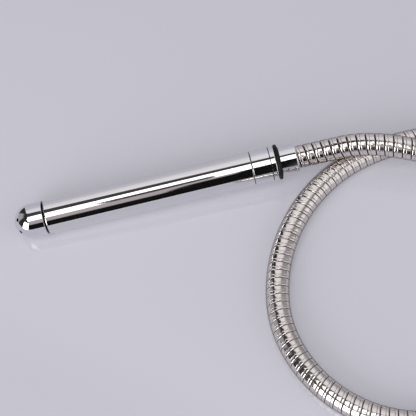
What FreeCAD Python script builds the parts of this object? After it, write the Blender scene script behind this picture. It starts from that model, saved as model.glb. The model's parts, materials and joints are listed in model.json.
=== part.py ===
import FreeCAD, Part

import os
from math import acos, cos, radians, sin, tan

# A slim chromed spray wand on an armoured shower hose, lying on a table.
# The wand is turned about its own axis. Along that axis, s runs from the apex of the tip
# towards the hose. Lengths are in millimetres and the table is z = 0.

# Outside of the wand
wand_diameter = 21.5
tip_length = 20.0
tube_length = 131.5
adaptor_length = 15.5
groove_offset = 11.7
groove_width = 0.3
groove_depth = 0.25
land_round = 0.8
tip_gap_width = 0.7
tip_gap_depth = 0.9
tip_rear_round = 0.25
tube_front_round = 1.05
tube_rear_round = 0.25
adaptor_gap_width = 0.3
adaptor_gap_depth = 0.6
adaptor_front_round = 0.35

# Walls and threads of the wand
tube_wall = 1.6
tip_wall = 1.9
spigot_length = 9.0
spigot_bore_diameter = 13.2
spigot_chamfer = 0.5
thread_clearance = 0.05
tip_cone_length = 4.0

# Spray holes: one at the apex and a ring of holes round it
spray_hole_diameter = 2.2
ring_hole_count = 6
ring_hole_polar_deg = 46.5
ring_hole_start_deg = 41.0

# Round seals on the two spigots
seal_groove_offset = 1.0
seal_groove_width = 1.8
seal_groove_depth = 1.3
seal_clearance = 0.02

# Swivel between the wand and the hose
journal_diameter = 11.0
journal_clearance = 0.04
spindle_bore_diameter = 5.2
spindle_nose = 1.1
bush_flange_diameter = 16.4
bush_flange_thickness = 1.2
bush_outer_diameter = 14.0
bush_length = 8.9
bush_clearance = 0.02
bush_seat_recess = 0.05
seal_bore_diameter = 11.2
seal_bore_length = 5.4
spindle_seal_pitch = 2.6
spindle_groove_width = 1.7
spindle_groove_depth = 1.2
spindle_seal_clearance = 0.04
washer_thickness = 1.0
washer_diameter = 12.6
clip_thickness = 0.95
clip_diameter = 12.6
clip_groove_depth = 0.7
clip_opening = 6.0
axial_play = 0.1
seat_clearance = 0.05

# Black ring and hose ferrule
ring_section = 2.3
ring_outer_diameter = 22.3
ferrule_diameter = 18.4
ferrule_length = 11.0
ferrule_wall = 1.2
ferrule_round = 1.0
ferrule_chamfer = 0.3

# Hose
hose_diameter = 14.0
casing_wall = 1.3
liner_clearance = 0.1
liner_wall = 1.55
barb_clearance = 0.05
barb_root_depth = 0.35
barb_count = 3
neck_diameter = 9.0
neck_clearance = 0.02

# Tap end of the hose
end_ferrule_length = 12.0
stem_diameter = 12.0
stem_clearance = 0.06
nut_play = 0.2
flange_diameter = 18.4
flange_thickness = 2.0
gasket_diameter = 18.6
gasket_bore_diameter = 10.0
gasket_thickness = 2.5
nut_diameter = 26.0
nut_length = 16.0
nut_lip = 2.0
nut_collar_length = 4.0
nut_collar_step = 0.6
nut_chamfer = 0.8
nut_thread_diameter = 20.955
nut_relief_depth = 0.4
flute_count = 18
flute_radius = 2.0
flute_depth = 0.7

# Lie of the wand and route of the hose. Each route point is (x from the ferrule's end, y,
# height above a hose that lies on the table).
lie_tilt_deg = 1.536
first_straight = 13.0
arc_share = 0.45
hose_route = [
    (41.5, -4.1, 16.0),
    (74.0, -17.7, 15.0),
    (109.5, -34.0, 5.5),
    (137.5, -67.0, 0.0),
    (144.5, -108.5, 0.0),
    (129.0, -149.5, 0.0),
    (94.0, -176.5, 0.0),
    (49.5, -182.0, 0.0),
    (8.2, -171.5, 0.0),
    (-21.8, -145.0, 0.0),
    (-35.3, -107.0, 0.0),
    (-29.8, -69.0, 0.0),
    (-10.3, -36.5, 0.0),
    (18.5, -12.5, 0.0),
    (51.5, -1.5, 0.0),
    (87.5, -2.0, 0.0),
    (129.5, 2.0, 0.0),
    (176.5, 9.0, 0.0),
    (228.5, 9.0, 0.0),
]
# Coil of the stored length: it is laid clockwise, and its second layer lies on the first.
coil_centre = (235.0, -72.0)
coil_point_radius = 78.0
coil_points_per_turn = 14
coil_start_deg = 62.0
coil_last_point = 19
coil_climb = {10: 1.2, 11: 5.5, 12: 11.5}
coil_layer_gap = 0.5
coil_crossing_point = 13
coil_layer_inset = 1.5
# Tail: it leaves the coil and comes down until the nut rests on the table.
tail_leave = (225.5, -154.0)
tail_down = (190.5, -164.0)
tail_end = (163.5, -172.0)

# Stations along the wand's axis
wand_radius = wand_diameter / 2
bore_radius = wand_radius - tube_wall
spigot_radius = bore_radius - thread_clearance
spigot_bore = spigot_bore_diameter / 2
tube_start = tip_length
tube_end = tube_start + tube_length
adaptor_end = tube_end + adaptor_length
ferrule_start = adaptor_end + ring_section + 2 * seat_clearance
ferrule_end = ferrule_start + ferrule_length
hose_start = ferrule_start + ferrule_wall + seat_clearance
journal_radius = journal_diameter / 2
hose_radius = hose_diameter / 2
liner_radius = hose_radius - casing_wall - liner_clearance
liner_bore = liner_radius - liner_wall
barb_radius = liner_bore - barb_clearance
ferrule_bore = hose_radius + seat_clearance
seal_shoulder = adaptor_end - bush_length - bush_seat_recess - seal_bore_length
nut_radius = nut_diameter / 2
nut_start = end_ferrule_length + nut_play
flange_start = nut_start + nut_lip + nut_play
gasket_start = flange_start + flange_thickness
thread_start = gasket_start + gasket_thickness

origin = FreeCAD.Vector(0, 0, 0)
along = FreeCAD.Vector(1, 0, 0)


def lathe(*outline):
    """Turn a closed outline of (s, r) corners about the X axis.

    A corner written as (via, end) is reached by an arc through via.
    """
    points = []
    edges = []
    for corner in outline:
        if isinstance(corner[0], tuple):
            via, end = (FreeCAD.Vector(s, r, 0) for s, r in corner)
            edges.append(Part.Arc(points[-1], via, end).toShape())
            points.append(end)
        else:
            point = FreeCAD.Vector(corner[0], corner[1], 0)
            if points:
                edges.append(Part.LineSegment(points[-1], point).toShape())
            points.append(point)
    edges.append(Part.LineSegment(points[-1], points[0]).toShape())
    return Part.Face(Part.Wire(edges)).revolve(origin, along, 360)


def collar(s_low, s_high, r_low, r_high):
    return lathe((s_low, r_low), (s_high, r_low), (s_high, r_high), (s_low, r_high))


def round_seal(s_centre, r_low, r_high, clearance):
    minor = (r_high - r_low) / 2 - clearance
    return Part.makeTorus((r_high + r_low) / 2, minor, FreeCAD.Vector(s_centre, 0, 0), along)


def quarter(s_centre, r_centre, radius, s_sign, r_sign):
    """Middle point of a quarter round about (s_centre, r_centre)."""
    step = radius * cos(radians(45))
    return (s_centre + s_sign * step, r_centre + r_sign * step)


def nozzle_tip():
    inner = wand_radius - tip_wall
    lip = tube_start - tip_gap_width
    groove_floor = spigot_radius - seal_groove_depth
    groove = tube_start + seal_groove_offset
    spigot_end = tube_start + spigot_length
    body = lathe(
        (0, 0),
        (quarter(wand_radius, 0, wand_radius, -1, 1), (wand_radius, wand_radius)),
        (lip - tip_rear_round, wand_radius),
        (quarter(lip - tip_rear_round, wand_radius - tip_rear_round, tip_rear_round, 1, 1),
         (lip, wand_radius - tip_rear_round)),
        (lip, wand_radius - tip_gap_depth),
        (tube_start, wand_radius - tip_gap_depth),
        (tube_start, spigot_radius),
        (groove, spigot_radius),
        (groove, groove_floor),
        (groove + seal_groove_width, groove_floor),
        (groove + seal_groove_width, spigot_radius),
        (spigot_end - spigot_chamfer, spigot_radius),
        (spigot_end, spigot_radius - spigot_chamfer),
        (spigot_end, spigot_bore),
        (tube_start - tip_cone_length / 2, spigot_bore),
        (tube_start - tip_cone_length, inner),
        (wand_radius, inner),
        (quarter(wand_radius, 0, inner, -1, 1), (wand_radius - inner, 0)),
    )
    centre = FreeCAD.Vector(wand_radius, 0, 0)
    polar = radians(ring_hole_polar_deg)
    directions = [FreeCAD.Vector(-1, 0, 0)]
    for index in range(ring_hole_count):
        turn = radians(ring_hole_start_deg + index * 360 / ring_hole_count)
        directions.append(FreeCAD.Vector(-cos(polar), sin(polar) * cos(turn), sin(polar) * sin(turn)))
    drills = [Part.makeCylinder(spray_hole_diameter / 2, wand_diameter, centre, way) for way in directions]
    return body.cut(Part.Compound(drills))


def wand_tube():
    front = tube_start + tube_front_round
    front_edge = wand_radius - tube_front_round
    rear = tube_end - tube_rear_round
    rear_edge = wand_radius - tube_rear_round
    return lathe(
        (tube_start, bore_radius),
        (tube_start, front_edge),
        (quarter(front, front_edge, tube_front_round, -1, 1), (front, wand_radius)),
        (rear, wand_radius),
        (quarter(rear, rear_edge, tube_rear_round, 1, 1), (tube_end, rear_edge)),
        (tube_end, bore_radius),
    )


def rear_adaptor():
    groove_floor = spigot_radius - seal_groove_depth
    groove_end = tube_end - seal_groove_offset
    spigot_end = tube_end - spigot_length
    gap_floor = wand_radius - adaptor_gap_depth
    front = tube_end + adaptor_gap_width
    front_land = front + adaptor_front_round
    front_edge = wand_radius - adaptor_front_round
    line_start = tube_end + groove_offset
    line_end = line_start + groove_width
    land_end = adaptor_end - land_round
    land_edge = wand_radius - land_round
    flange_floor = adaptor_end - bush_seat_recess - bush_flange_thickness
    bush_floor = adaptor_end - bush_seat_recess - bush_length
    return lathe(
        (spigot_end, spigot_bore),
        (spigot_end, spigot_radius - spigot_chamfer),
        (spigot_end + spigot_chamfer, spigot_radius),
        (groove_end - seal_groove_width, spigot_radius),
        (groove_end - seal_groove_width, groove_floor),
        (groove_end, groove_floor),
        (groove_end, spigot_radius),
        (tube_end, spigot_radius),
        (tube_end, gap_floor),
        (front, gap_floor),
        (front, front_edge),
        (quarter(front_land, front_edge, adaptor_front_round, -1, 1), (front_land, wand_radius)),
        (line_start, wand_radius),
        (line_start, wand_radius - groove_depth),
        (line_end, wand_radius - groove_depth),
        (quarter(line_end + groove_depth, wand_radius - groove_depth, groove_depth, -1, 1),
         (line_end + groove_depth, wand_radius)),
        (land_end, wand_radius),
        (quarter(land_end, land_edge, land_round, 1, 1), (adaptor_end, land_edge)),
        (adaptor_end, bush_flange_diameter / 2 + seat_clearance),
        (flange_floor, bush_flange_diameter / 2 + seat_clearance),
        (flange_floor, bush_outer_diameter / 2 + bush_clearance),
        (bush_floor, bush_outer_diameter / 2 + bush_clearance),
        (bush_floor, seal_bore_diameter / 2),
        (seal_shoulder, seal_bore_diameter / 2),
        (seal_shoulder, spigot_bore),
    )


def swivel_bush():
    flange_end = adaptor_end - bush_seat_recess
    barrel_start = flange_end - bush_length
    hole = journal_radius + journal_clearance
    return lathe(
        (barrel_start, hole),
        (barrel_start, bush_outer_diameter / 2),
        (flange_end - bush_flange_thickness, bush_outer_diameter / 2),
        (flange_end - bush_flange_thickness, bush_flange_diameter / 2),
        (flange_end, bush_flange_diameter / 2),
        (flange_end, hole),
    )


def barb(root_end, tip_end):
    """Corners of a ridged barb from its root to its tip, on the outside."""
    pitch = (tip_end - root_end) / barb_count
    corners = []
    for index in range(barb_count):
        ridge = root_end + index * pitch
        corners.append((ridge, barb_radius))
        corners.append((ridge + pitch, barb_radius - barb_root_depth))
    return corners


def seal_stations():
    """Middle of each seal groove on the journal."""
    middle = seal_shoulder + seal_bore_length / 2
    return [middle - spindle_seal_pitch / 2, middle + spindle_seal_pitch / 2]


def clip_station():
    """Start of the clip's groove on the journal."""
    washer_start = seal_shoulder - seat_clearance - washer_thickness
    return washer_start - seat_clearance - clip_thickness


def swivel_spindle():
    clip_start = clip_station() - seat_clearance
    clip_end = clip_start + clip_thickness + 2 * seat_clearance
    clip_floor = journal_radius - clip_groove_depth
    groove_floor = journal_radius - spindle_groove_depth
    collar_start = adaptor_end + axial_play
    collar_radius = ring_outer_diameter / 2 - ring_section - seat_clearance
    nose_start = clip_start - spindle_nose
    corners = [
        (nose_start, spindle_bore_diameter / 2),
        (nose_start, clip_floor),
        (nose_start + spindle_nose / 2, journal_radius),
        (clip_start, journal_radius),
        (clip_start, clip_floor),
        (clip_end, clip_floor),
        (clip_end, journal_radius),
    ]
    for station in seal_stations():
        low = station - spindle_groove_width / 2
        high = station + spindle_groove_width / 2
        corners += [(low, journal_radius), (low, groove_floor), (high, groove_floor), (high, journal_radius)]
    corners += [
        (collar_start, journal_radius),
        (collar_start, collar_radius),
        (ferrule_start, collar_radius),
        (ferrule_start, neck_diameter / 2),
        (ferrule_start + ferrule_wall, neck_diameter / 2),
    ]
    corners += barb(ferrule_start + ferrule_wall, ferrule_end - ferrule_round)
    corners.append((ferrule_end - ferrule_round, spindle_bore_diameter / 2))
    return lathe(*corners)


def thrust_washer():
    end = seal_shoulder - seat_clearance
    return collar(end - washer_thickness, end, journal_radius + journal_clearance, washer_diameter / 2)


def spindle_clip():
    start = clip_station()
    inner = journal_radius - clip_groove_depth + seat_clearance
    ring = collar(start, start + clip_thickness, inner, clip_diameter / 2)
    corner = FreeCAD.Vector(start - clip_thickness, -clip_opening / 2, -clip_diameter)
    return ring.cut(Part.makeBox(3 * clip_thickness, clip_opening, clip_diameter, corner))


def bumper_ring():
    outer = ring_outer_diameter / 2
    return round_seal((adaptor_end + ferrule_start) / 2, outer - ring_section, outer, 0)


def hose_ferrule():
    edge = ferrule_diameter / 2
    rear = ferrule_end - ferrule_round
    return lathe(
        (ferrule_start, neck_diameter / 2 + neck_clearance),
        (ferrule_start, edge - ferrule_chamfer),
        (ferrule_start + ferrule_chamfer, edge),
        (rear, edge),
        (quarter(rear, edge - ferrule_round, ferrule_round, 1, 1), (ferrule_end, edge - ferrule_round)),
        (ferrule_end, ferrule_bore),
        (ferrule_start + ferrule_wall, ferrule_bore),
        (ferrule_start + ferrule_wall, neck_diameter / 2 + neck_clearance),
    )


# The tap end is turned about its own axis, with u = 0 at the hose side of its ferrule.

def end_ferrule():
    edge = ferrule_diameter / 2
    wall_start = end_ferrule_length - ferrule_wall
    return lathe(
        (0, ferrule_bore),
        (0, edge - ferrule_round),
        (quarter(ferrule_round, edge - ferrule_round, ferrule_round, -1, 1), (ferrule_round, edge)),
        (end_ferrule_length - ferrule_chamfer, edge),
        (end_ferrule_length, edge - ferrule_chamfer),
        (end_ferrule_length, neck_diameter / 2 + neck_clearance),
        (wall_start, neck_diameter / 2 + neck_clearance),
        (wall_start, ferrule_bore),
    )


def end_nipple():
    wall_start = end_ferrule_length - ferrule_wall
    corners = [(ferrule_round, spindle_bore_diameter / 2)]
    corners += reversed(barb(wall_start, ferrule_round))
    corners += [
        (wall_start, neck_diameter / 2),
        (end_ferrule_length, neck_diameter / 2),
        (end_ferrule_length, stem_diameter / 2),
        (flange_start, stem_diameter / 2),
        (flange_start, flange_diameter / 2),
        (gasket_start, flange_diameter / 2),
        (gasket_start, spindle_bore_diameter / 2),
    ]
    return lathe(*corners)


def nut_gasket():
    return collar(gasket_start, thread_start, gasket_bore_diameter / 2, gasket_diameter / 2)


def tap_nut():
    nut_end = nut_start + nut_length
    neck = nut_radius - nut_collar_step
    step = nut_start + nut_collar_length
    thread = nut_thread_diameter / 2
    relief = thread + nut_relief_depth
    body = lathe(
        (nut_start, stem_diameter / 2 + stem_clearance),
        (nut_start, neck - nut_chamfer),
        (nut_start + nut_chamfer, neck),
        (step, neck),
        (step + nut_collar_step, nut_radius),
        (nut_end - nut_chamfer, nut_radius),
        (nut_end, nut_radius - nut_chamfer),
        (nut_end, thread),
        (thread_start, thread),
        (thread_start, relief),
        (nut_start + nut_lip, relief),
        (nut_start + nut_lip, stem_diameter / 2 + stem_clearance),
    )
    flutes = []
    centre_radius = nut_radius + flute_radius - flute_depth
    for index in range(flute_count):
        turn = radians(index * 360 / flute_count)
        foot = FreeCAD.Vector(step, centre_radius * cos(turn), centre_radius * sin(turn))
        flutes.append(Part.makeCylinder(flute_radius, nut_length, foot, along))
    return body.cut(Part.Compound(flutes))


# Placing the wand: the dome touches the table, and the rear is lifted by the hose.
tilt = radians(lie_tilt_deg)
axis_way = FreeCAD.Vector(cos(tilt), 0, sin(tilt))
rear_reach = (ferrule_end - ferrule_round - wand_radius) * cos(tilt)
rear_reach += (ferrule_diameter / 2 - ferrule_round) * sin(tilt) + ferrule_round
dome_x = (wand_radius - rear_reach) / 2


def axis_point(s):
    return FreeCAD.Vector(dome_x, 0, wand_radius) + axis_way * (s - wand_radius)


def lay_wand(shape):
    turn = FreeCAD.Rotation(FreeCAD.Vector(0, 1, 0), -lie_tilt_deg)
    shape.Placement = FreeCAD.Placement(axis_point(0), turn)
    return shape


# Hose route
exit_point = axis_point(ferrule_end)


def route_point(x, y, lift):
    return FreeCAD.Vector(exit_point.x + x, y, hose_radius + lift)


def coil_point(index):
    """Control point of the coil, counted clockwise from where the hose comes in."""
    turn = radians(coil_start_deg - index * 360 / coil_points_per_turn)
    second = hose_diameter + coil_layer_gap
    radius = coil_point_radius
    lift = coil_climb.get(index, 0.0 if index < coil_crossing_point else second)
    if index == coil_crossing_point:
        lift = second + coil_layer_gap
    if index >= coil_crossing_point:
        radius -= coil_layer_inset
    return route_point(coil_centre[0] + radius * cos(turn), coil_centre[1] + radius * sin(turn), lift)


run_points = [axis_point(hose_start), axis_point(ferrule_end + first_straight)]
run_points += [route_point(*point) for point in hose_route]
coil_points = [coil_point(index) for index in range(coil_last_point + 1)]
layer_lift = hose_diameter + coil_layer_gap
nut_lift = nut_radius - hose_radius
tail_points = [
    route_point(*tail_leave, layer_lift),
    route_point(*tail_down, nut_lift),
    route_point(*tail_end, nut_lift),
]
all_points = run_points + coil_points + tail_points
first_coil = len(run_points)
first_tail = first_coil + len(coil_points)
end_way = (all_points[-1] - all_points[-2]).normalize()


def corner(index):
    """Tangent points, arc middle and radius of the rounded corner at a route point."""
    before = all_points[index] - all_points[index - 1]
    after = all_points[index + 1] - all_points[index]
    reach = arc_share * min(before.Length, after.Length)
    before.normalize()
    after.normalize()
    turn = acos(before.dot(after))
    radius = reach / tan(turn / 2)
    inward = (after - before).normalize()
    bulge = radius * (1 / cos(turn / 2) - 1)
    point = all_points[index]
    return point - before * reach, point + inward * bulge, point + after * reach, radius


def path(first, last):
    """Straight runs and arcs round the corners first to last, cut at mid-run or at an end."""
    start = all_points[0] if first == 1 else (all_points[first - 1] + all_points[first]) / 2
    finish = all_points[-1] if last == len(all_points) - 2 else (all_points[last] + all_points[last + 1]) / 2
    edges = []
    here = start
    for index in range(first, last + 1):
        into, middle, out, radius = corner(index)
        edges.append(Part.LineSegment(here, into).toShape())
        edges.append(Part.Arc(into, middle, out).toShape())
        here = out
    edges.append(Part.LineSegment(here, finish).toShape())
    return Part.Wire(edges), (edges[0].Vertexes[1].Point - start).normalize()


def swept(first, last, outer, inner=0.0):
    """Tube along a stretch of the route, with its volume printed against section times length."""
    wire, way = path(first, last)
    start = wire.OrderedVertexes[0].Point
    profile = Part.Face(Part.Wire(Part.Circle(start, way, outer).toShape()))
    section = profile.Area
    tube = wire.makePipe(profile)
    if inner:
        hole = Part.Face(Part.Wire(Part.Circle(start, way, inner).toShape()))
        section -= hole.Area
        tube = tube.cut(wire.makePipe(hole))
    print("stretch length %.1f, volume over section times length %.4f"
          % (wire.Length, tube.Volume / (section * wire.Length)))
    return tube


def lay_end(shape):
    """Put a piece of the tap end where the hose ends, inside its ferrule."""
    depth = end_ferrule_length - ferrule_wall - seat_clearance
    foot = all_points[-1] - end_way * depth
    shape.Placement = FreeCAD.Placement(foot, FreeCAD.Rotation(along, end_way))
    return shape


radii = [corner(index)[3] for index in range(1, len(all_points) - 1)]
print("corner radii", " ".join("%.0f" % radius for radius in radii))
print("smallest radius %.1f, hose diameters %.2f" % (min(radii), min(radii) / hose_diameter))

run_range = (1, first_coil - 1)
coil_range = (first_coil, first_tail - 1)
tail_range = (first_tail, len(all_points) - 2)
casing_bore = hose_radius - casing_wall
adaptor_seal_station = tube_end - seal_groove_offset - seal_groove_width / 2
tip_seal_station = tube_start + seal_groove_offset + seal_groove_width / 2
seal_low = spigot_radius - seal_groove_depth
journal_floor = journal_radius - spindle_groove_depth

pieces = {
    "nozzle_tip": lay_wand(nozzle_tip()),
    "tip_seal": lay_wand(round_seal(tip_seal_station, seal_low, bore_radius, seal_clearance)),
    "wand_tube": lay_wand(wand_tube()),
    "adaptor_seal": lay_wand(round_seal(adaptor_seal_station, seal_low, bore_radius, seal_clearance)),
    "rear_adaptor": lay_wand(rear_adaptor()),
    "swivel_bush": lay_wand(swivel_bush()),
    "swivel_spindle": lay_wand(swivel_spindle()),
    "thrust_washer": lay_wand(thrust_washer()),
    "spindle_clip": lay_wand(spindle_clip()),
    "bumper_ring": lay_wand(bumper_ring()),
    "hose_ferrule": lay_wand(hose_ferrule()),
    "hose_casing": Part.Compound([swept(*run_range, hose_radius, casing_bore),
                                  swept(*tail_range, hose_radius, casing_bore)]),
    "hose_liner": Part.Compound([swept(*run_range, liner_radius, liner_bore),
                                 swept(*tail_range, liner_radius, liner_bore)]),
    "hose_coil": swept(*coil_range, hose_radius),
    "end_ferrule": lay_end(end_ferrule()),
    "end_nipple": lay_end(end_nipple()),
    "nut_gasket": lay_end(nut_gasket()),
    "tap_nut": lay_end(tap_nut()),
}
for name, station in zip(("spindle_seal_front", "spindle_seal_rear"), seal_stations()):
    seal = round_seal(station, journal_floor, seal_bore_diameter / 2, spindle_seal_clearance)
    pieces[name] = lay_wand(seal)

os.makedirs("parts", exist_ok=True)
for name, shape in pieces.items():
    shape.exportStep("parts/%s.step" % name)
    print("%-20s solids %d volume %9.1f valid %s" % (name, len(shape.Solids), shape.Volume, shape.isValid()))

swivel_point = axis_point(adaptor_end)
holder_low = wand_radius
holder_high = adaptor_end - land_round
thread_middle = (thread_start + nut_start + nut_length) / 2
nut_point = lay_end(Part.Vertex(thread_middle, 0, 0)).Vertexes[0].Point
print("swivel point", swivel_point, "axis", axis_way)
print("hose exit", exit_point)
holder_middle = axis_point((holder_low + holder_high) / 2)
print("holder middle", holder_middle, "length %.3f" % (holder_high - holder_low))
print("thread middle", nut_point, "axis", end_way, "length %.3f" % (nut_start + nut_length - thread_start))
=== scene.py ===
# %% [markdown]
# A slim shower wand lies on a pale table, at the end of a wound steel hose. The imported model
# already holds every piece at its real size, so this lesson only dresses it. We begin by loading
# that model as a fixed frame. Its joints tell us where the wand's axis runs, and everything that
# we add is placed from them.

# %% The fixed frame
import json
import math

import bpy
from mathutils import Matrix, Vector


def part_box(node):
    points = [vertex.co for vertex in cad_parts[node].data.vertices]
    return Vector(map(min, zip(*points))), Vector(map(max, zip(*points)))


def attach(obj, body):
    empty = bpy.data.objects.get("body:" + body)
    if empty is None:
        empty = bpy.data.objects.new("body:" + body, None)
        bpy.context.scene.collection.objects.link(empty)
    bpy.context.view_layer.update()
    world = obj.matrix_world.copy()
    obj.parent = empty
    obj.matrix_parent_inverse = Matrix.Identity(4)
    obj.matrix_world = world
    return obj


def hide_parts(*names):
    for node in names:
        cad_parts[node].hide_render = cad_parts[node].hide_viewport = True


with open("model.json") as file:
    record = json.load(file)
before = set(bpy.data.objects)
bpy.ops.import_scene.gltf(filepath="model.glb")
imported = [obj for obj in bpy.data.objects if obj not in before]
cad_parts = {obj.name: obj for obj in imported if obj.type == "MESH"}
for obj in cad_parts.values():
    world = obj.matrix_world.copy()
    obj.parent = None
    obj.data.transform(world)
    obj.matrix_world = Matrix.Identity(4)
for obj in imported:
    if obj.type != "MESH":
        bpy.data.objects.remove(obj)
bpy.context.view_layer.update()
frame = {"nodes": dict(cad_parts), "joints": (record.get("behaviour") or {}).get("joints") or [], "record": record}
MM = 0.001
joints = {joint["name"]: joint for joint in frame["joints"]}
wand_axis = Vector(joints["wand_swivel"]["axis"]).normalized()
swivel_point = Vector(joints["wand_swivel"]["pos_m"])
nut_axis = Vector(joints["nut_spin"]["axis"]).normalized()
nut_point = Vector(joints["nut_spin"]["pos_m"])
print("nodes", sorted(frame["nodes"]))

# %% [markdown]
# The photograph was taken from above and in front, with a short telephoto lens and the camera
# rolled a little, so that the wand climbs across the picture. Three angles, a distance and a
# target say all that. We build the camera's axes from them instead of typing a matrix, because
# angles can be read and changed.

# %% Camera
view_elevation = math.radians(62.242)
view_azimuth = math.radians(-0.943)
view_roll = math.radians(11.847)
view_distance = 673.05 * MM
view_target = Vector((29.3, -12.9, 0.0)) * MM
lens_mm = 92.76
sensor_mm = 36.0

back = Vector((
    math.sin(view_azimuth) * math.cos(view_elevation),
    -math.cos(view_azimuth) * math.cos(view_elevation),
    math.sin(view_elevation),
))
level = Vector((0, 0, 1)).cross(back).normalized()
upward = back.cross(level)
right = level * math.cos(view_roll) - upward * math.sin(view_roll)
top = level * math.sin(view_roll) + upward * math.cos(view_roll)
camera = bpy.data.objects.new("camera", bpy.data.cameras.new("camera"))
bpy.context.scene.collection.objects.link(camera)
camera.data.lens = lens_mm
camera.data.sensor_width = sensor_mm
camera.matrix_world = Matrix.Translation(view_target + back * view_distance) @ Matrix(
    (right, top, back)).transposed().to_4x4()
bpy.context.scene.camera = camera
print("camera at", camera.matrix_world.translation)

# %% [markdown]
# The hose is one smooth line. It leaves its ferrule along the wand's axis, climbs over its own
# strand, makes the open loop that the picture shows, and goes off to a neat coil that holds the
# rest of its length. The loop's points are listed one by one. The coil's points come from a loop in
# code: they go round clockwise, and the second layer lies on the first. A NURBS spline of order
# three rounds all of them, as a hose rounds its own bends. Each point is given in millimetres from
# the hose's exit, and its height is above a hose that lies on the table. A few millimetres of the
# hose are hidden in the ferrule, and where it comes out it is still straight.

# %% Route of the hose
hose_radius = 7.0 * MM
exit_mm = 13.4
hidden_mm = 9.75
straight_mm = 13.0
hose_exit = swivel_point + wand_axis * exit_mm * MM
hose_root = hose_exit - wand_axis * hidden_mm * MM

free_route = [
    (41.5, -4.1, 16.0), (74.0, -18.1, 15.0), (109.5, -34.0, 5.5), (137.5, -67.0, 0.0),
    (144.5, -108.5, 0.0), (129.0, -149.5, 0.0), (94.0, -176.5, 0.0), (49.3, -182.5, 0.0),
    (7.9, -172.3, 0.0), (-22.0, -145.2, 0.0), (-36.0, -107.1, 0.0), (-30.0, -69.0, 0.0),
    (-10.7, -35.8, 0.0), (18.1, -12.3, 0.0), (51.6, -1.6, 0.0), (87.5, -2.0, 0.0),
    (129.5, 2.0, 0.0), (176.5, 9.0, 0.0), (228.5, 9.0, 0.0),
]
coil_centre = (235.0, -72.0)
coil_radii = (78.0, 76.5)
coil_points_per_turn = 14
coil_point_count = 20
second_layer_from = 13
coil_start = math.radians(62.0)
coil_climb = {10: 1.2, 11: 5.5, 12: 11.5, 13: 15.0}
layer_lift = 14.5
tail_route = [(225.5, -154.0, 14.5), (190.5, -164.0, 6.0), (163.5, -172.0, 6.0)]
steps_per_point = 24


def route_point(x, y, lift):
    return Vector((hose_exit.x + x * MM, y * MM, hose_radius + lift * MM))


route = [hose_root, hose_exit + wand_axis * straight_mm * MM]
route += [route_point(*point) for point in free_route]
for index in range(coil_point_count):
    second_layer = index >= second_layer_from
    angle = coil_start - index * 2 * math.pi / coil_points_per_turn
    radius = coil_radii[second_layer]
    lift = coil_climb.get(index, layer_lift if second_layer else 0.0)
    x = coil_centre[0] + radius * math.cos(angle)
    y = coil_centre[1] + radius * math.sin(angle)
    route.append(route_point(x, y, lift))
route += [route_point(*point) for point in tail_route]


def nurbs_route(name, points):
    """A smooth curve object, with the points as its control points."""
    curve = bpy.data.curves.new(name, "CURVE")
    curve.dimensions = "3D"
    curve.resolution_u = steps_per_point
    spline = curve.splines.new("NURBS")
    spline.points.add(len(points) - 1)
    for control, place in zip(spline.points, points):
        control.co = (*place, 1.0)
    spline.order_u = 3
    spline.use_endpoint_u = True
    made = bpy.data.objects.new(name, curve)
    bpy.context.scene.collection.objects.link(made)
    return made


def followed(curve_object):
    """Points along a curve object that has no bevel."""
    mesh = bpy.data.meshes.new_from_object(curve_object)
    points = [vertex.co.copy() for vertex in mesh.vertices]
    bpy.data.meshes.remove(mesh)
    return points


hose_route = nurbs_route("hose_route", route)
hose_path = followed(hose_route)
hose_length = sum((b - a).length for a, b in zip(hose_path, hose_path[1:]))
print("hose length", round(hose_length, 4), "points on it", len(hose_path))

# %% [markdown]
# Real shower hose is a steel strip, rolled to a hooked section and wound so that each turn hooks
# into the last. A pattern of rings would repeat but never travel along the hose. Geometry Nodes
# can make it as the factory does. The strip's section is swept along a helix round a straight
# line, and the wound tube is then bent: each point goes to the same length along the route, on
# the same side of it. So the turns close up inside a bend and open outside it, as real ones do.
# A helix wound straight on the curved route would keep the strip's width there, and the gaps on
# the inside would vanish. The same tree also winds the thread in the nut.

# %% A tree that winds a section and bends it along a route
def add(tree, kind, wires=None, **settings):
    """Add one node with its settings. A wire is a socket to link from, or a plain value."""
    node = tree.nodes.new(kind)
    for name, value in settings.items():
        setattr(node, name, value)
    for key, value in (wires or {}).items():
        if isinstance(value, bpy.types.NodeSocket):
            tree.links.new(value, node.inputs[key])
        else:
            node.inputs[key].default_value = value
    return node


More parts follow.
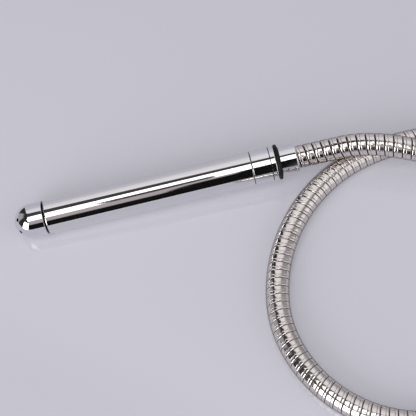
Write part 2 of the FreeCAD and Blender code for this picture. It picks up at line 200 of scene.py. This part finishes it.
def winding_tree():
    tree = bpy.data.node_groups.new("winding", "GeometryNodeTree")
    for name, kind in (("Route", "Object"), ("Section", "Object"), ("Radius", "Float"),
                       ("Start", "Float"), ("Pitch", "Float"), ("Stretch", "Float"),
                       ("Stretched Turns", "Float"), ("Turns", "Float"), ("Steps", "Int"),
                       ("Finish", "Material")):
        tree.interface.new_socket(name, in_out="INPUT", socket_type="NodeSocket" + kind)
    tree.interface.new_socket("Mesh", in_out="OUTPUT", socket_type="NodeSocketGeometry")
    given = add(tree, "NodeGroupInput").outputs

    def maths(operation, *terms):
        return add(tree, "ShaderNodeMath", dict(enumerate(terms)), operation=operation).outputs[0]

    def vectors(operation, first, second):
        wires = {0: first, ("Scale" if operation == "SCALE" else 1): second}
        return add(tree, "ShaderNodeVectorMath", wires, operation=operation).outputs[0]

    route_in = add(tree, "GeometryNodeObjectInfo", {"Object": given["Route"]})
    section_in = add(tree, "GeometryNodeObjectInfo", {"Object": given["Section"]})
    level_route = add(tree, "GeometryNodeSetCurveNormal",
                      {"Curve": route_in.outputs["Geometry"]}, mode="Z_UP")

    # How far along the line each point of the helix lies, and which way is outwards there
    turn = maths("DIVIDE", add(tree, "GeometryNodeInputIndex").outputs[0], given["Steps"])
    fading = maths("EXPONENT", maths("DIVIDE", maths("MULTIPLY", turn, -1.0), given["Stretched Turns"]))
    loosened = maths("MULTIPLY", given["Stretch"], maths("SUBTRACT", 1.0, fading))
    travel = maths("ADD", maths("ADD", maths("MULTIPLY", turn, given["Pitch"]), given["Start"]), loosened)
    angle = maths("MULTIPLY", turn, 2 * math.pi)
    away = add(tree, "ShaderNodeCombineXYZ",
               {"Y": maths("COSINE", angle), "Z": maths("SINE", angle)}).outputs[0]
    place = vectors("ADD", add(tree, "ShaderNodeCombineXYZ", {"X": travel}).outputs[0],
                    vectors("SCALE", away, given["Radius"]))

    # The helix, with the section swept along it
    count = maths("ADD", maths("MULTIPLY", given["Turns"], given["Steps"]), 1.0)
    line = add(tree, "GeometryNodeMeshLine", {"Count": count})
    helix = add(tree, "GeometryNodeMeshToCurve", {0: line.outputs[0]})
    laid = add(tree, "GeometryNodeSetPosition", {"Geometry": helix.outputs[0], "Position": place})
    aimed = add(tree, "GeometryNodeSetCurveNormal", {"Curve": laid.outputs[0], "Normal": away}, mode="FREE")
    along = add(tree, "GeometryNodeStoreNamedAttribute",
                {"Geometry": aimed.outputs[0], "Name": "turn", "Value": turn})
    across = add(tree, "GeometryNodeStoreNamedAttribute",
                 {"Geometry": section_in.outputs["Geometry"], "Name": "across",
                  "Value": add(tree, "GeometryNodeSplineParameter").outputs["Factor"]})
    outward = add(tree, "ShaderNodeSeparateXYZ", {0: add(tree, "GeometryNodeInputPosition").outputs[0]})
    profile = add(tree, "GeometryNodeStoreNamedAttribute",
                  {"Geometry": across.outputs[0], "Name": "height", "Value": outward.outputs["X"]})
    strip = add(tree, "GeometryNodeCurveToMesh",
                {"Curve": along.outputs[0], "Profile Curve": profile.outputs[0], "Fill Caps": True})

    # A map along the turns and across the section, for patterns that follow the strip
    turn_read = add(tree, "GeometryNodeInputNamedAttribute", {"Name": "turn"}).outputs[0]
    across_read = add(tree, "GeometryNodeInputNamedAttribute", {"Name": "across"}).outputs[0]
    both = add(tree, "ShaderNodeCombineXYZ", {"X": turn_read, "Y": across_read})
    mapped = add(tree, "GeometryNodeStoreNamedAttribute",
                 {"Geometry": strip.outputs[0], "Name": "strip", "Value": both.outputs[0]},
                 data_type="FLOAT2", domain="CORNER")

    # The straight tube, bent along the route
    straight = add(tree, "ShaderNodeSeparateXYZ",
                   {0: add(tree, "GeometryNodeInputPosition").outputs[0]}).outputs
    spot = add(tree, "GeometryNodeSampleCurve",
               {"Curves": level_route.outputs[0], "Length": straight["X"]}, mode="LENGTH").outputs
    side = vectors("CROSS_PRODUCT", spot["Tangent"], spot["Normal"])
    out = vectors("ADD", vectors("SCALE", spot["Normal"], straight["Y"]),
                  vectors("SCALE", side, straight["Z"]))
    bent = add(tree, "GeometryNodeSetPosition",
               {"Geometry": mapped.outputs[0], "Position": vectors("ADD", spot["Position"], out)})
    smooth = add(tree, "GeometryNodeSetShadeSmooth", {"Geometry": bent.outputs[0]})
    real = add(tree, "GeometryNodeRealizeInstances", {"Geometry": smooth.outputs[0]})
    finished = add(tree, "GeometryNodeSetMaterial",
                   {"Geometry": real.outputs[0], "Material": given["Finish"]})
    add(tree, "NodeGroupOutput", {"Mesh": finished.outputs[0]})
    return tree


winding = winding_tree()
print("winding tree has", len(winding.nodes), "nodes")

# %% [markdown]
# The tree needs a closed outline to sweep, and an object to run on. Its inputs are set by their
# identifiers before Blender first looks at the object. What it makes is then kept as a plain mesh,
# because a finished piece should carry no live tree.

# %% Turning a tree's result into a plain mesh
def section_curve(name, corners):
    """Closed outline to be swept, from (forward, outward) corners in millimetres."""
    curve = bpy.data.curves.new(name, "CURVE")
    spline = curve.splines.new("POLY")
    spline.points.add(len(corners) - 1)
    for point, (forward, outward) in zip(spline.points, corners):
        point.co = (outward * MM, forward * MM, 0.0, 1.0)
    spline.use_cyclic_u = True
    made = bpy.data.objects.new(name, curve)
    bpy.context.scene.collection.objects.link(made)
    return made


def wind(name, **sizes):
    """Run the winding tree with these inputs, and keep what it makes as a plain mesh object."""
    host = bpy.data.objects.new(name, bpy.data.meshes.new(name))
    bpy.context.scene.collection.objects.link(host)
    modifier = host.modifiers.new("winding", "NODES")
    modifier.node_group = winding
    for socket in winding.interface.items_tree:
        if socket.in_out == "INPUT":
            modifier[socket.identifier] = sizes[socket.name.lower().replace(" ", "_")]
    evaluated = host.evaluated_get(bpy.context.evaluated_depsgraph_get())
    mesh = bpy.data.meshes.new_from_object(evaluated)
    host.modifiers.clear()
    host.data = mesh
    print(name, "has", len(mesh.polygons), "faces")
    return host


# %% [markdown]
# Before winding anything we make the finishes. Three small helpers come first: one turns a hex
# colour to linear light, one makes a material, and one spreads soft patches over a piece. A noise
# texture rarely leaves the middle of its range, so only that part of it is used.

# %% Helpers for finishes
noise_low = 0.3
noise_high = 0.7


def colour(hex_value):
    """Linear colour of an sRGB hex value."""
    parts = [int(hex_value[place:place + 2], 16) / 255 for place in (1, 3, 5)]
    return (*(part / 12.92 if part <= 0.04045 else ((part + 0.055) / 1.055) ** 2.4 for part in parts), 1.0)


def material(name):
    """A new material with its Principled shader."""
    made = bpy.data.materials.new(name)
    made.use_nodes = True
    return made, made.node_tree, made.node_tree.nodes["Principled BSDF"]


def patchy(tree, size_mm, low, high, detail=2.0, stretch=(1.0, 1.0, 1.0)):
    """Noise over the object's own coordinates, one patch about size_mm wide, from low to high."""
    place = add(tree, "ShaderNodeTexCoord").outputs["Object"]
    scaled = add(tree, "ShaderNodeMapping", {"Vector": place, "Scale": stretch})
    noise = add(tree, "ShaderNodeTexNoise",
                {"Vector": scaled.outputs[0], "Scale": 1 / (size_mm * MM), "Detail": detail})
    return add(tree, "ShaderNodeMapRange",
               {0: noise.outputs[0], 1: noise_low, 2: noise_high, 3: low, 4: high}).outputs[0]


print("#808080 in linear light is", round(colour("#808080")[0], 3))

# %% [markdown]
# The tip, the tube and the adaptor meet in fine gaps, and shade falls in them. Without it a
# mirror-bright gap looks like a scratch. So both bright finishes get painted shade below the wand's
# skin. How deep a point lies is the wand's radius less its distance from the axis, which a cross
# product gives. Only the stretch with the gaps gets the painted shade, and not the dome. The fine
# groove in the adaptor is painted dark over its whole width, with its rounded wall.

# %% Painted shade in the seams of the wand
# Painted shade: the colour that the wand's gaps and its groove are darkened to.
seam_painted_shade = "#161515"
wand_radius = 10.75 * MM
shade_start_depth = 0.06 * MM
full_shade_depth = 0.25 * MM
front_margin = 2.0 * MM
rear_margin = 1.0 * MM
groove_offset = 11.7 * MM
groove_mouth = 0.5 * MM


def along_wand(node_name, corner):
    """Place of a node's front (0) or rear (1) rim along the wand's axis, from the swivel."""
    tilted_rim = wand_radius * wand_axis.z * (1 if corner else -1)
    return (Vector(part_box(node_name)[corner]).x - swivel_point.x - tilted_rim) / wand_axis.x


first_seam = along_wand("wand_tube", 0) - front_margin
last_seam = along_wand("rear_adaptor", 1) - rear_margin
groove_start = along_wand("wand_tube", 1) + groove_offset
groove_end = groove_start + groove_mouth


def with_painted_seam_shade(tree, bare_hex):
    """A hex colour with painted shade in the wand's gaps and groove."""
    place = add(tree, "ShaderNodeTexCoord").outputs["Object"]

    def maths(operation, *terms):
        return add(tree, "ShaderNodeMath", dict(enumerate(terms)), operation=operation).outputs[0]

    def vectors(operation, *terms):
        return add(tree, "ShaderNodeVectorMath", dict(enumerate(terms)), operation=operation).outputs

    def between(value, start, end):
        return maths("MULTIPLY", maths("GREATER_THAN", value, start), maths("LESS_THAN", value, end))

    reach = vectors("SUBTRACT", place, swivel_point)[0]
    run = vectors("DOT_PRODUCT", reach, wand_axis)["Value"]
    arm = vectors("CROSS_PRODUCT", reach, wand_axis)[0]
    distance = vectors("LENGTH", arm)["Value"]
    # Mask of the painted shade: below the skin in the stretch with the gaps, and over the groove.
    deep = add(tree, "ShaderNodeMapRange",
               {0: distance, 1: wand_radius - shade_start_depth, 2: wand_radius - full_shade_depth}).outputs[0]
    seams = maths("MULTIPLY", deep, between(run, first_seam, last_seam))
    painted_shade = maths("MAXIMUM", seams, between(run, groove_start, groove_end))
    return add(tree, "ShaderNodeMix", {0: painted_shade, 6: colour(bare_hex), 7: colour(seam_painted_shade)},
               data_type="RGBA").outputs[2]


print("seams between", first_seam, "and", last_seam, "and a groove at", groove_start)

# %% [markdown]
# The tip, the adaptor, the ferrules and the nut are brass, turned and polished and then plated
# with nickel and a thin layer of chromium. The plate is slightly bluish and very smooth, so almost
# all that we see is the room. A faint unevenness in the roughness, in patches of 6 mm, keeps it
# from looking like a computer's mirror.

# %% Chrome plate
def chrome_plate():
    made, tree, shader = material("chrome_plate_on_brass")
    tree.links.new(with_painted_seam_shade(tree, "#e4e4e7"), shader.inputs["Base Color"])
    shader.inputs["Metallic"].default_value = 1.0
    tree.links.new(patchy(tree, 6.0, 0.03, 0.06), shader.inputs["Roughness"])
    return made


chrome = chrome_plate()
print("made", chrome.name)

# %% [markdown]
# The long tube is stainless steel, polished to a mirror. It is a trace warmer than chromium, and
# the polishing wheel leaves it very slightly less sharp. Its patches are stretched along the tube,
# the way the wheel ran.

# %% Polished stainless tube
def polished_stainless():
    made, tree, shader = material("polished_stainless_steel")
    tree.links.new(with_painted_seam_shade(tree, "#e5e4e5"), shader.inputs["Base Color"])
    shader.inputs["Metallic"].default_value = 1.0
    tree.links.new(patchy(tree, 8.0, 0.035, 0.065, stretch=(0.3, 1.0, 1.0)), shader.inputs["Roughness"])
    return made


stainless = polished_stainless()
print("made", stainless.name)

# %% [markdown]
# The hose's strip is bright rolled stainless, without a polish of its own. The rolls leave fine
# lines along the strip, and its reflections are softer and warmer than the wand's. The strip's own
# map runs along the turns and across the section, so the lines can follow the strip round. Real
# lines lie a few hundredths of a millimetre apart and wouldn't show, so these are 0.4 mm apart:
# 24 of them across the section's 10 mm. The gaps between the turns get painted shade. The tree
# stores how high each point of the section lies, and below the skin the steel's colour is painted darker.

# %% Rolled strip
lines_across = 24.0
lines_per_turn = 0.2
# Painted shade: the steel's colour below the skin, in the gaps between the turns.
gap_painted_shade = "#8c8885"
gap_top = -0.10 * MM
gap_floor = -0.24 * MM


def rolled_strip():
    made, tree, shader = material("bright_rolled_stainless_strip")
    shader.inputs["Metallic"].default_value = 1.0
    shader.inputs["Specular Tint"].default_value = colour("#989490")
    along = add(tree, "ShaderNodeUVMap", uv_map="strip")
    drawn = add(tree, "ShaderNodeMapping",
                {"Vector": along.outputs[0], "Scale": (lines_per_turn, lines_across, 1.0)})
    lines = add(tree, "ShaderNodeTexNoise", {"Vector": drawn.outputs[0], "Scale": 1.0, "Detail": 2.0})
    tint = add(tree, "ShaderNodeMix",
               {"Factor": patchy(tree, 4.0, 0.0, 1.0), 6: colour("#e3ddd9"), 7: colour("#ebe5e1")},
               data_type="RGBA")
    # Painted shade in the gaps, deeper below the skin, mixed into the strip's colour.
    height = add(tree, "ShaderNodeAttribute", attribute_name="height").outputs["Fac"]
    deep = add(tree, "ShaderNodeMapRange", {0: height, 1: gap_top, 2: gap_floor}).outputs[0]
    painted_gap_shade = add(tree, "ShaderNodeMix", {0: deep, 6: tint.outputs[2], 7: colour(gap_painted_shade)}, data_type="RGBA")
    tree.links.new(painted_gap_shade.outputs[2], shader.inputs["Base Color"])
    rough = add(tree, "ShaderNodeMapRange",
                {0: lines.outputs[0], 1: noise_low, 2: noise_high, 3: 0.09, 4: 0.17})
    tree.links.new(rough.outputs[0], shader.inputs["Roughness"])
    bump = add(tree, "ShaderNodeBump",
               {"Height": lines.outputs[0], "Strength": 0.12, "Distance": 0.05 * MM})
    tree.links.new(bump.outputs[0], shader.inputs["Normal"])
    return made


strip_steel = rolled_strip()
print("made", strip_steel.name)

# %% [markdown]
# The ring at the swivel is moulded rubber: nearly black, matte, with a very fine grain that only
# shows as a soft edge to its highlight. The mould's grain is about 0.05 mm, and 0.25 mm is the
# finest that shows here. Unplated brass shows inside the nut, warm yellow with a turned, satin
# face. Acetal is a milky white plastic with a dull sheen, for the bush and the washer inside. The
# record says which finish each node has, so a loop hands them out.

# %% Rubber, brass and plastic
def moulded_rubber():
    made, tree, shader = material("moulded_black_rubber")
    shader.inputs["Base Color"].default_value = colour("#0a0a0b")
    shader.inputs["Specular IOR Level"].default_value = 0.3
    tree.links.new(patchy(tree, 0.8, 0.48, 0.62), shader.inputs["Roughness"])
    grain = patchy(tree, 0.25, 0.0, 1.0)
    bump = add(tree, "ShaderNodeBump", {"Height": grain, "Strength": 0.3, "Distance": 0.03 * MM})
    tree.links.new(bump.outputs[0], shader.inputs["Normal"])
    return made


def turned_brass():
    made, tree, shader = material("turned_brass")
    shader.inputs["Base Color"].default_value = colour("#c9a25a")
    shader.inputs["Metallic"].default_value = 1.0
    tree.links.new(patchy(tree, 0.6, 0.18, 0.32), shader.inputs["Roughness"])
    return made


def white_acetal():
    made, tree, shader = material("machined_white_acetal")
    shader.inputs["Base Color"].default_value = colour("#e4e2da")
    tree.links.new(patchy(tree, 1.0, 0.35, 0.5), shader.inputs["Roughness"])
    return made


rubber = moulded_rubber()
brass = turned_brass()
acetal = white_acetal()
finishes = {
    "chromed_brass": chrome, "polished_steel": stainless, "seal_rubber": rubber,
    "ring_rubber": rubber, "bush_plastic": acetal, "spring_steel": stainless,
    "plain_brass": brass, "liner_rubber": rubber, "wound_strip": strip_steel,
}
slots = {part["node"]: part["material_slot"] for part in frame["record"]["subparts"]}
for name, node in frame["nodes"].items():
    node.data.materials.clear()
    node.data.materials.append(finishes[slots[name]])
print("finishes for", len(frame["nodes"]), "nodes:", sorted(set(slots.values())))

# %% [markdown]
# Now the strip's section. Seen along the hose, each turn has a wide, almost flat band and, just
# before the next turn, a narrow rolled lip. Between them and between the turns lie thin dark
# seams. The band and the lip are wound as two strips, which keeps each mesh light. Behind the
# wand the hose has been bent so often that its turns stand a little further apart, so the first
# twenty or so get some extra length, which fades away.

# %% The wound casing
strip_pitch = 5.12 * MM
stretch = 9.0 * MM
stretched_turns = 22.0
steps_per_turn = 28
turns = (hose_length - stretch) / strip_pitch - 1.0

band_section = section_curve("band_section", [
    (-1.15, -1.25), (0.13, -0.95), (0.15, -0.22), (0.20, -0.07), (0.32, -0.015), (0.52, 0.0),
    (2.75, 0.0), (2.93, -0.015), (3.01, -0.06), (3.04, -0.20), (3.04, -1.25),
])
lip_section = section_curve("lip_section", [
    (3.08, -1.20), (3.08, -0.20), (3.12, -0.05), (3.24, 0.0), (4.10, 0.0), (4.40, -0.02),
    (4.67, -0.09), (4.84, -0.20), (4.94, -0.38), (4.96, -1.20),
])
winding_sizes = {
    "route": hose_route, "radius": hose_radius, "start": 0.0, "pitch": strip_pitch,
    "stretch": stretch, "stretched_turns": stretched_turns, "turns": turns,
    "steps": steps_per_turn, "finish": strip_steel,
}
casing = wind("hose_casing_strip", section=band_section, **winding_sizes)
lip = wind("hose_casing_lip", section=lip_section, **winding_sizes)

# %% [markdown]
# The nut has the half inch pipe thread of a tap. Its fourteen turns to the inch are wound inside
# the plain bore by the same tree, along a short straight route on the nut's own axis. The section
# points inwards, and its foot is sunk a little into the wall. The route is longer than the thread
# by half the foot's width at each end.

# %% The thread in the nut
inch = 25.4 * MM
thread_pitch = inch / 14
thread_radius = 10.4775 * MM
thread_reach = 7.6 * MM
thread_steps = 36
foot_mm = 0.80
half_route = thread_reach / 2 + foot_mm * MM
thread_route = nurbs_route("thread_route", [nut_point + nut_axis * half_route * share
                                            for share in (-1.0, 0.0, 1.0)])
thread_section = section_curve("thread_section", [
    (foot_mm, 0.06), (0.12, -1.10), (-0.12, -1.10), (-foot_mm, 0.06),
])
nut_thread = wind("nut_thread", route=thread_route, section=thread_section, radius=thread_radius,
                  start=foot_mm * MM, pitch=thread_pitch, stretch=0.0, stretched_turns=1.0,
                  turns=thread_reach / thread_pitch, steps=thread_steps, finish=chrome)

# %% [markdown]
# The stage is a pale table of glossy acrylic, lit a little from below, so shadows on it stay weak:
# a quarter of its light is its own. The gloss is a clear coat over that, which hides it at a flat
# angle, as real acrylic does. Only the camera sees the coat. In reflections the table stays plain,
# or the bright screen would show a second time along the edge of the hose.

# %% The table
pale_violet = colour("#c9c8d1")
table_glow = 0.26
table_span = 6.0
table_centre = (0.0, 0.0, -0.2 * MM)


def lit_acrylic():
    made, tree, shader = material("lit_glossy_acrylic")
    unlit = [part * (1 - table_glow) for part in pale_violet[:3]]
    shader.inputs["Base Color"].default_value = (*unlit, 1.0)
    shader.inputs["Emission Color"].default_value = pale_violet
    shader.inputs["Emission Strength"].default_value = table_glow
    shader.inputs["Specular IOR Level"].default_value = 0.0
    tree.links.new(add(tree, "ShaderNodeLightPath").outputs["Is Camera Ray"], shader.inputs["Coat Weight"])
    shader.inputs["Coat Roughness"].default_value = 0.1
    return made


def flat_sheet(name, centre, width, depth, finish):
    """Horizontal rectangle, for the stage."""
    corners = [(-1, -1), (1, -1), (1, 1), (-1, 1)]
    mesh = bpy.data.meshes.new(name)
    mesh.from_pydata([(centre[0] + x * width / 2, centre[1] + y * depth / 2, centre[2])
                      for x, y in corners], [], [(0, 1, 2, 3)])
    mesh.materials.append(finish)
    made = bpy.data.objects.new(name, mesh)
    bpy.context.scene.collection.objects.link(made)
    return made


table = flat_sheet("table", table_centre, table_span, table_span, lit_acrylic())
print("table", table_span, "m wide")

# %% [markdown]
# Chrome shows nothing of its own, so the lamps and the world matter more than the shader. Four
# soft boxes overhead, set edge to edge, give the broad white band: the wand and the hose mirror
# their edges, so each edge has its own place. A bright screen at the front left is the main light,
# and the dome picks it up. It leans forward a little. A weaker one stands at the front right.

# %% Lamps
box_height = 1.3
box_radiance = 2.0
box_edges = {"overhead_box": (-0.69, 0.22, -0.43, -0.24),
             "overhead_box_back": (-0.50, 0.22, -0.24, -0.023),
             "front_box_left": (-0.65, -0.233, -0.78, -0.43),
             "front_box_right": (0.0, 0.22, -0.78, -0.43)}
screens = {
    "left_screen": {"place": (-0.963, -0.899, 0.545), "aim": (-0.08, 0.0, 0.165),
                    "width": 0.80, "depth": 1.12, "radiance": 4.2},
    "right_screen": {"place": (1.09, -0.84, 0.80), "aim": (0.07, -0.04, 0.80),
                     "width": 1.38, "depth": 1.60, "radiance": 0.62},
}


def soft_box(name, place, aim, width, depth, radiance):
    """Rectangular lamp at a place, facing a point. A radiance of 1 looks white."""
    lamp = bpy.data.lights.new(name, "AREA")
    lamp.shape = "RECTANGLE"
    lamp.size = width
    lamp.size_y = depth
    lamp.energy = radiance * math.pi * width * depth
    made = bpy.data.objects.new(name, lamp)
    bpy.context.scene.collection.objects.link(made)
    facing = (Vector(aim) - Vector(place)).to_track_quat("-Z", "Y")
    made.matrix_world = Matrix.Translation(place) @ facing.to_matrix().to_4x4()
    return made


for name, (west, east, south, north) in box_edges.items():
    middle = ((west + east) / 2, (south + north) / 2)
    soft_box(name, (*middle, box_height), (*middle, 0.0), east - west, north - south, box_radiance)
for name, screen in screens.items():
    soft_box(name, **screen)
print("lamps", sorted(box_edges) + sorted(screens))

# %% [markdown]
# The rest of the studio is painted in the world, by direction: a pale backdrop that brightens
# towards its top, a dark gap between it and the soft boxes, a grey stretch of ceiling, a grey
# panel at the left back, and the dark room in front. Only reflections see that picture. Everything
# else gets a plain pale light, which is stronger from the front. These helpers paint by a value:
# with a ramp of colours, with a blend of two, or with a step that has a soft edge.

# %% Helpers for the world
def ramp(tree, value, low, high, stops):
    """Colours by a value: stops are (value, hex colour), between low and high."""
    share = add(tree, "ShaderNodeMapRange", {0: value, 1: low, 2: high})
    node = add(tree, "ShaderNodeValToRGB", {0: share.outputs[0]})
    points = node.color_ramp.elements
    while len(points) < len(stops):
        points.new(1.0)
    for point, (place, hex_value) in zip(points, stops):
        point.position = (place - low) / (high - low)
        point.color = colour(hex_value)
    return node.outputs[0]


def blend_colours(tree, share, first, second):
    mixed = add(tree, "ShaderNodeMix", {0: share, 6: first, 7: second}, data_type="RGBA")
    return mixed.outputs[2]


world = bpy.data.worlds.new("studio")
bpy.context.scene.world = world
world.use_nodes = True
studio = world.node_tree
way = add(studio, "ShaderNodeSeparateXYZ",
          {0: add(studio, "ShaderNodeTexCoord").outputs["Generated"]}).outputs


def studio_math(operation, *terms):
    return add(studio, "ShaderNodeMath", dict(enumerate(terms)), operation=operation).outputs[0]


def step(value, start, end):
    """From 0 at start to 1 at end."""
    return add(studio, "ShaderNodeMapRange", {0: value, 1: start, 2: end}).outputs[0]


print("directions", list(way.keys()))

# %% [markdown]
# First comes the height of a direction, as an angle from the back of the table, over the top and
# down to the front. The backdrop and the ceiling are bands of that angle. The grey of the ceiling
# gets narrower to the right, in two steps, so there the angle past its start is stretched.

# %% Backdrop and ceiling
ceiling_start = math.radians(119)
left_squeeze = 1.33
middle_squeeze = 8.0
height = studio_math("ARCTAN2", way["Z"], way["Y"])
past_start = studio_math("MAXIMUM", studio_math("SUBTRACT", height, ceiling_start), 0.0)
squeeze = studio_math("ADD", studio_math("MULTIPLY", step(way["X"], -0.068, -0.05), left_squeeze),
                      studio_math("MULTIPLY", step(way["X"], -0.003, 0.003), middle_squeeze))
height = studio_math("ADD", height, studio_math("MULTIPLY", past_start, squeeze))
backdrop = ramp(studio, height, 0.0, math.pi / 2, [
    (math.radians(angle), hex_value) for angle, hex_value in (
        (0, "#c0bec6"), (28, "#cac8cf"), (34, "#cccad1"), (41, "#e3e1e7"), (52, "#eae8ec"),
        (62, "#f5f3f6"), (70, "#f0edef"))])
ceiling = ramp(studio, height, 0.0, math.pi * 1.3, [
    (math.radians(angle), hex_value) for angle, hex_value in (
        (119, "#434142"), (123, "#b8afb2"), (143, "#b6acb0"), (147, "#161415"), (180, "#121212"))])
backdrop_slope = math.radians(45)
backdrop_middle = math.radians(75)
edge_blur = math.radians(1.5)
backdrop_top = studio_math("ADD", studio_math("MULTIPLY", way["X"], backdrop_slope), backdrop_middle)
above = step(studio_math("SUBTRACT", height, backdrop_top), -edge_blur, edge_blur)
print("the backdrop's top is at", round(math.degrees(backdrop_middle)), "degrees, above the middle")

# %% [markdown]
# Beside those bands the room is darker, from nearly black on the left to grey on the right. Each
# edge is a step along X, Y or both, and the backdrop reaches further right at the back of the
# table than overhead. Last, the picture goes to glossy rays alone.

# %% The sides, and who sees them
beside = ramp(studio, way["X"], -1.0, 1.0, [
    (-1.0, "#302f30"), (-0.3, "#302f30"), (0.0, "#bab8bb"), (0.3, "#bab8bb"), (0.5, "#868487"),
    (0.9, "#9c9a9d")])
left_back = studio_math("MULTIPLY", step(studio_math("ADD", way["X"], way["Y"]), 0.02, -0.14),
                        studio_math("MULTIPLY", step(way["Y"], 0.04, 0.16), step(way["Z"], 0.80, 0.60)))
beside = blend_colours(studio, left_back, beside, colour("#a9a8ac"))
left_edge = step(way["X"], -0.36, -0.29)
far_right = studio_math("MULTIPLY", step(way["X"], 0.72, 0.45), step(way["Y"], 0.03, 0.15))
behind = studio_math("MULTIPLY", left_edge,
                     studio_math("MAXIMUM", step(way["X"], 0.48, 0.15), far_right))
ahead = studio_math("MULTIPLY", left_edge, step(way["X"], 0.14, 0.06))
pattern = blend_colours(studio, above, blend_colours(studio, behind, beside, backdrop),
                        blend_colours(studio, ahead, beside, ceiling))
rays = add(studio, "ShaderNodeLightPath").outputs
rear_light = (0.30, 0.30, 0.31, 1.0)
front_light = (0.78, 0.78, 0.81, 1.0)
plain_light = blend_colours(studio, step(way["Y"], 0.3, -0.3), rear_light, front_light)
seen = blend_colours(studio, rays["Is Camera Ray"], plain_light, pale_violet)
studio.links.new(blend_colours(studio, rays["Is Glossy Ray"], seen, pattern),
                 studio.nodes["Background"].inputs["Color"])
bpy.context.scene.view_settings.view_transform = "Standard"
print("world has", len(studio.nodes), "nodes")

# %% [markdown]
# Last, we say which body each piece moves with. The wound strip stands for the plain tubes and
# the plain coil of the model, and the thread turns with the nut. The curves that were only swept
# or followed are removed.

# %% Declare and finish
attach(casing, "hose")
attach(lip, "hose")
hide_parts("hose_casing", "hose_liner", "hose_coil")
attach(nut_thread, "nut")

swept_curves = (hose_route, band_section, lip_section, thread_route, thread_section)
for curve in swept_curves:
    bpy.data.objects.remove(curve)
print("removed", len(swept_curves), "curves that were only swept")
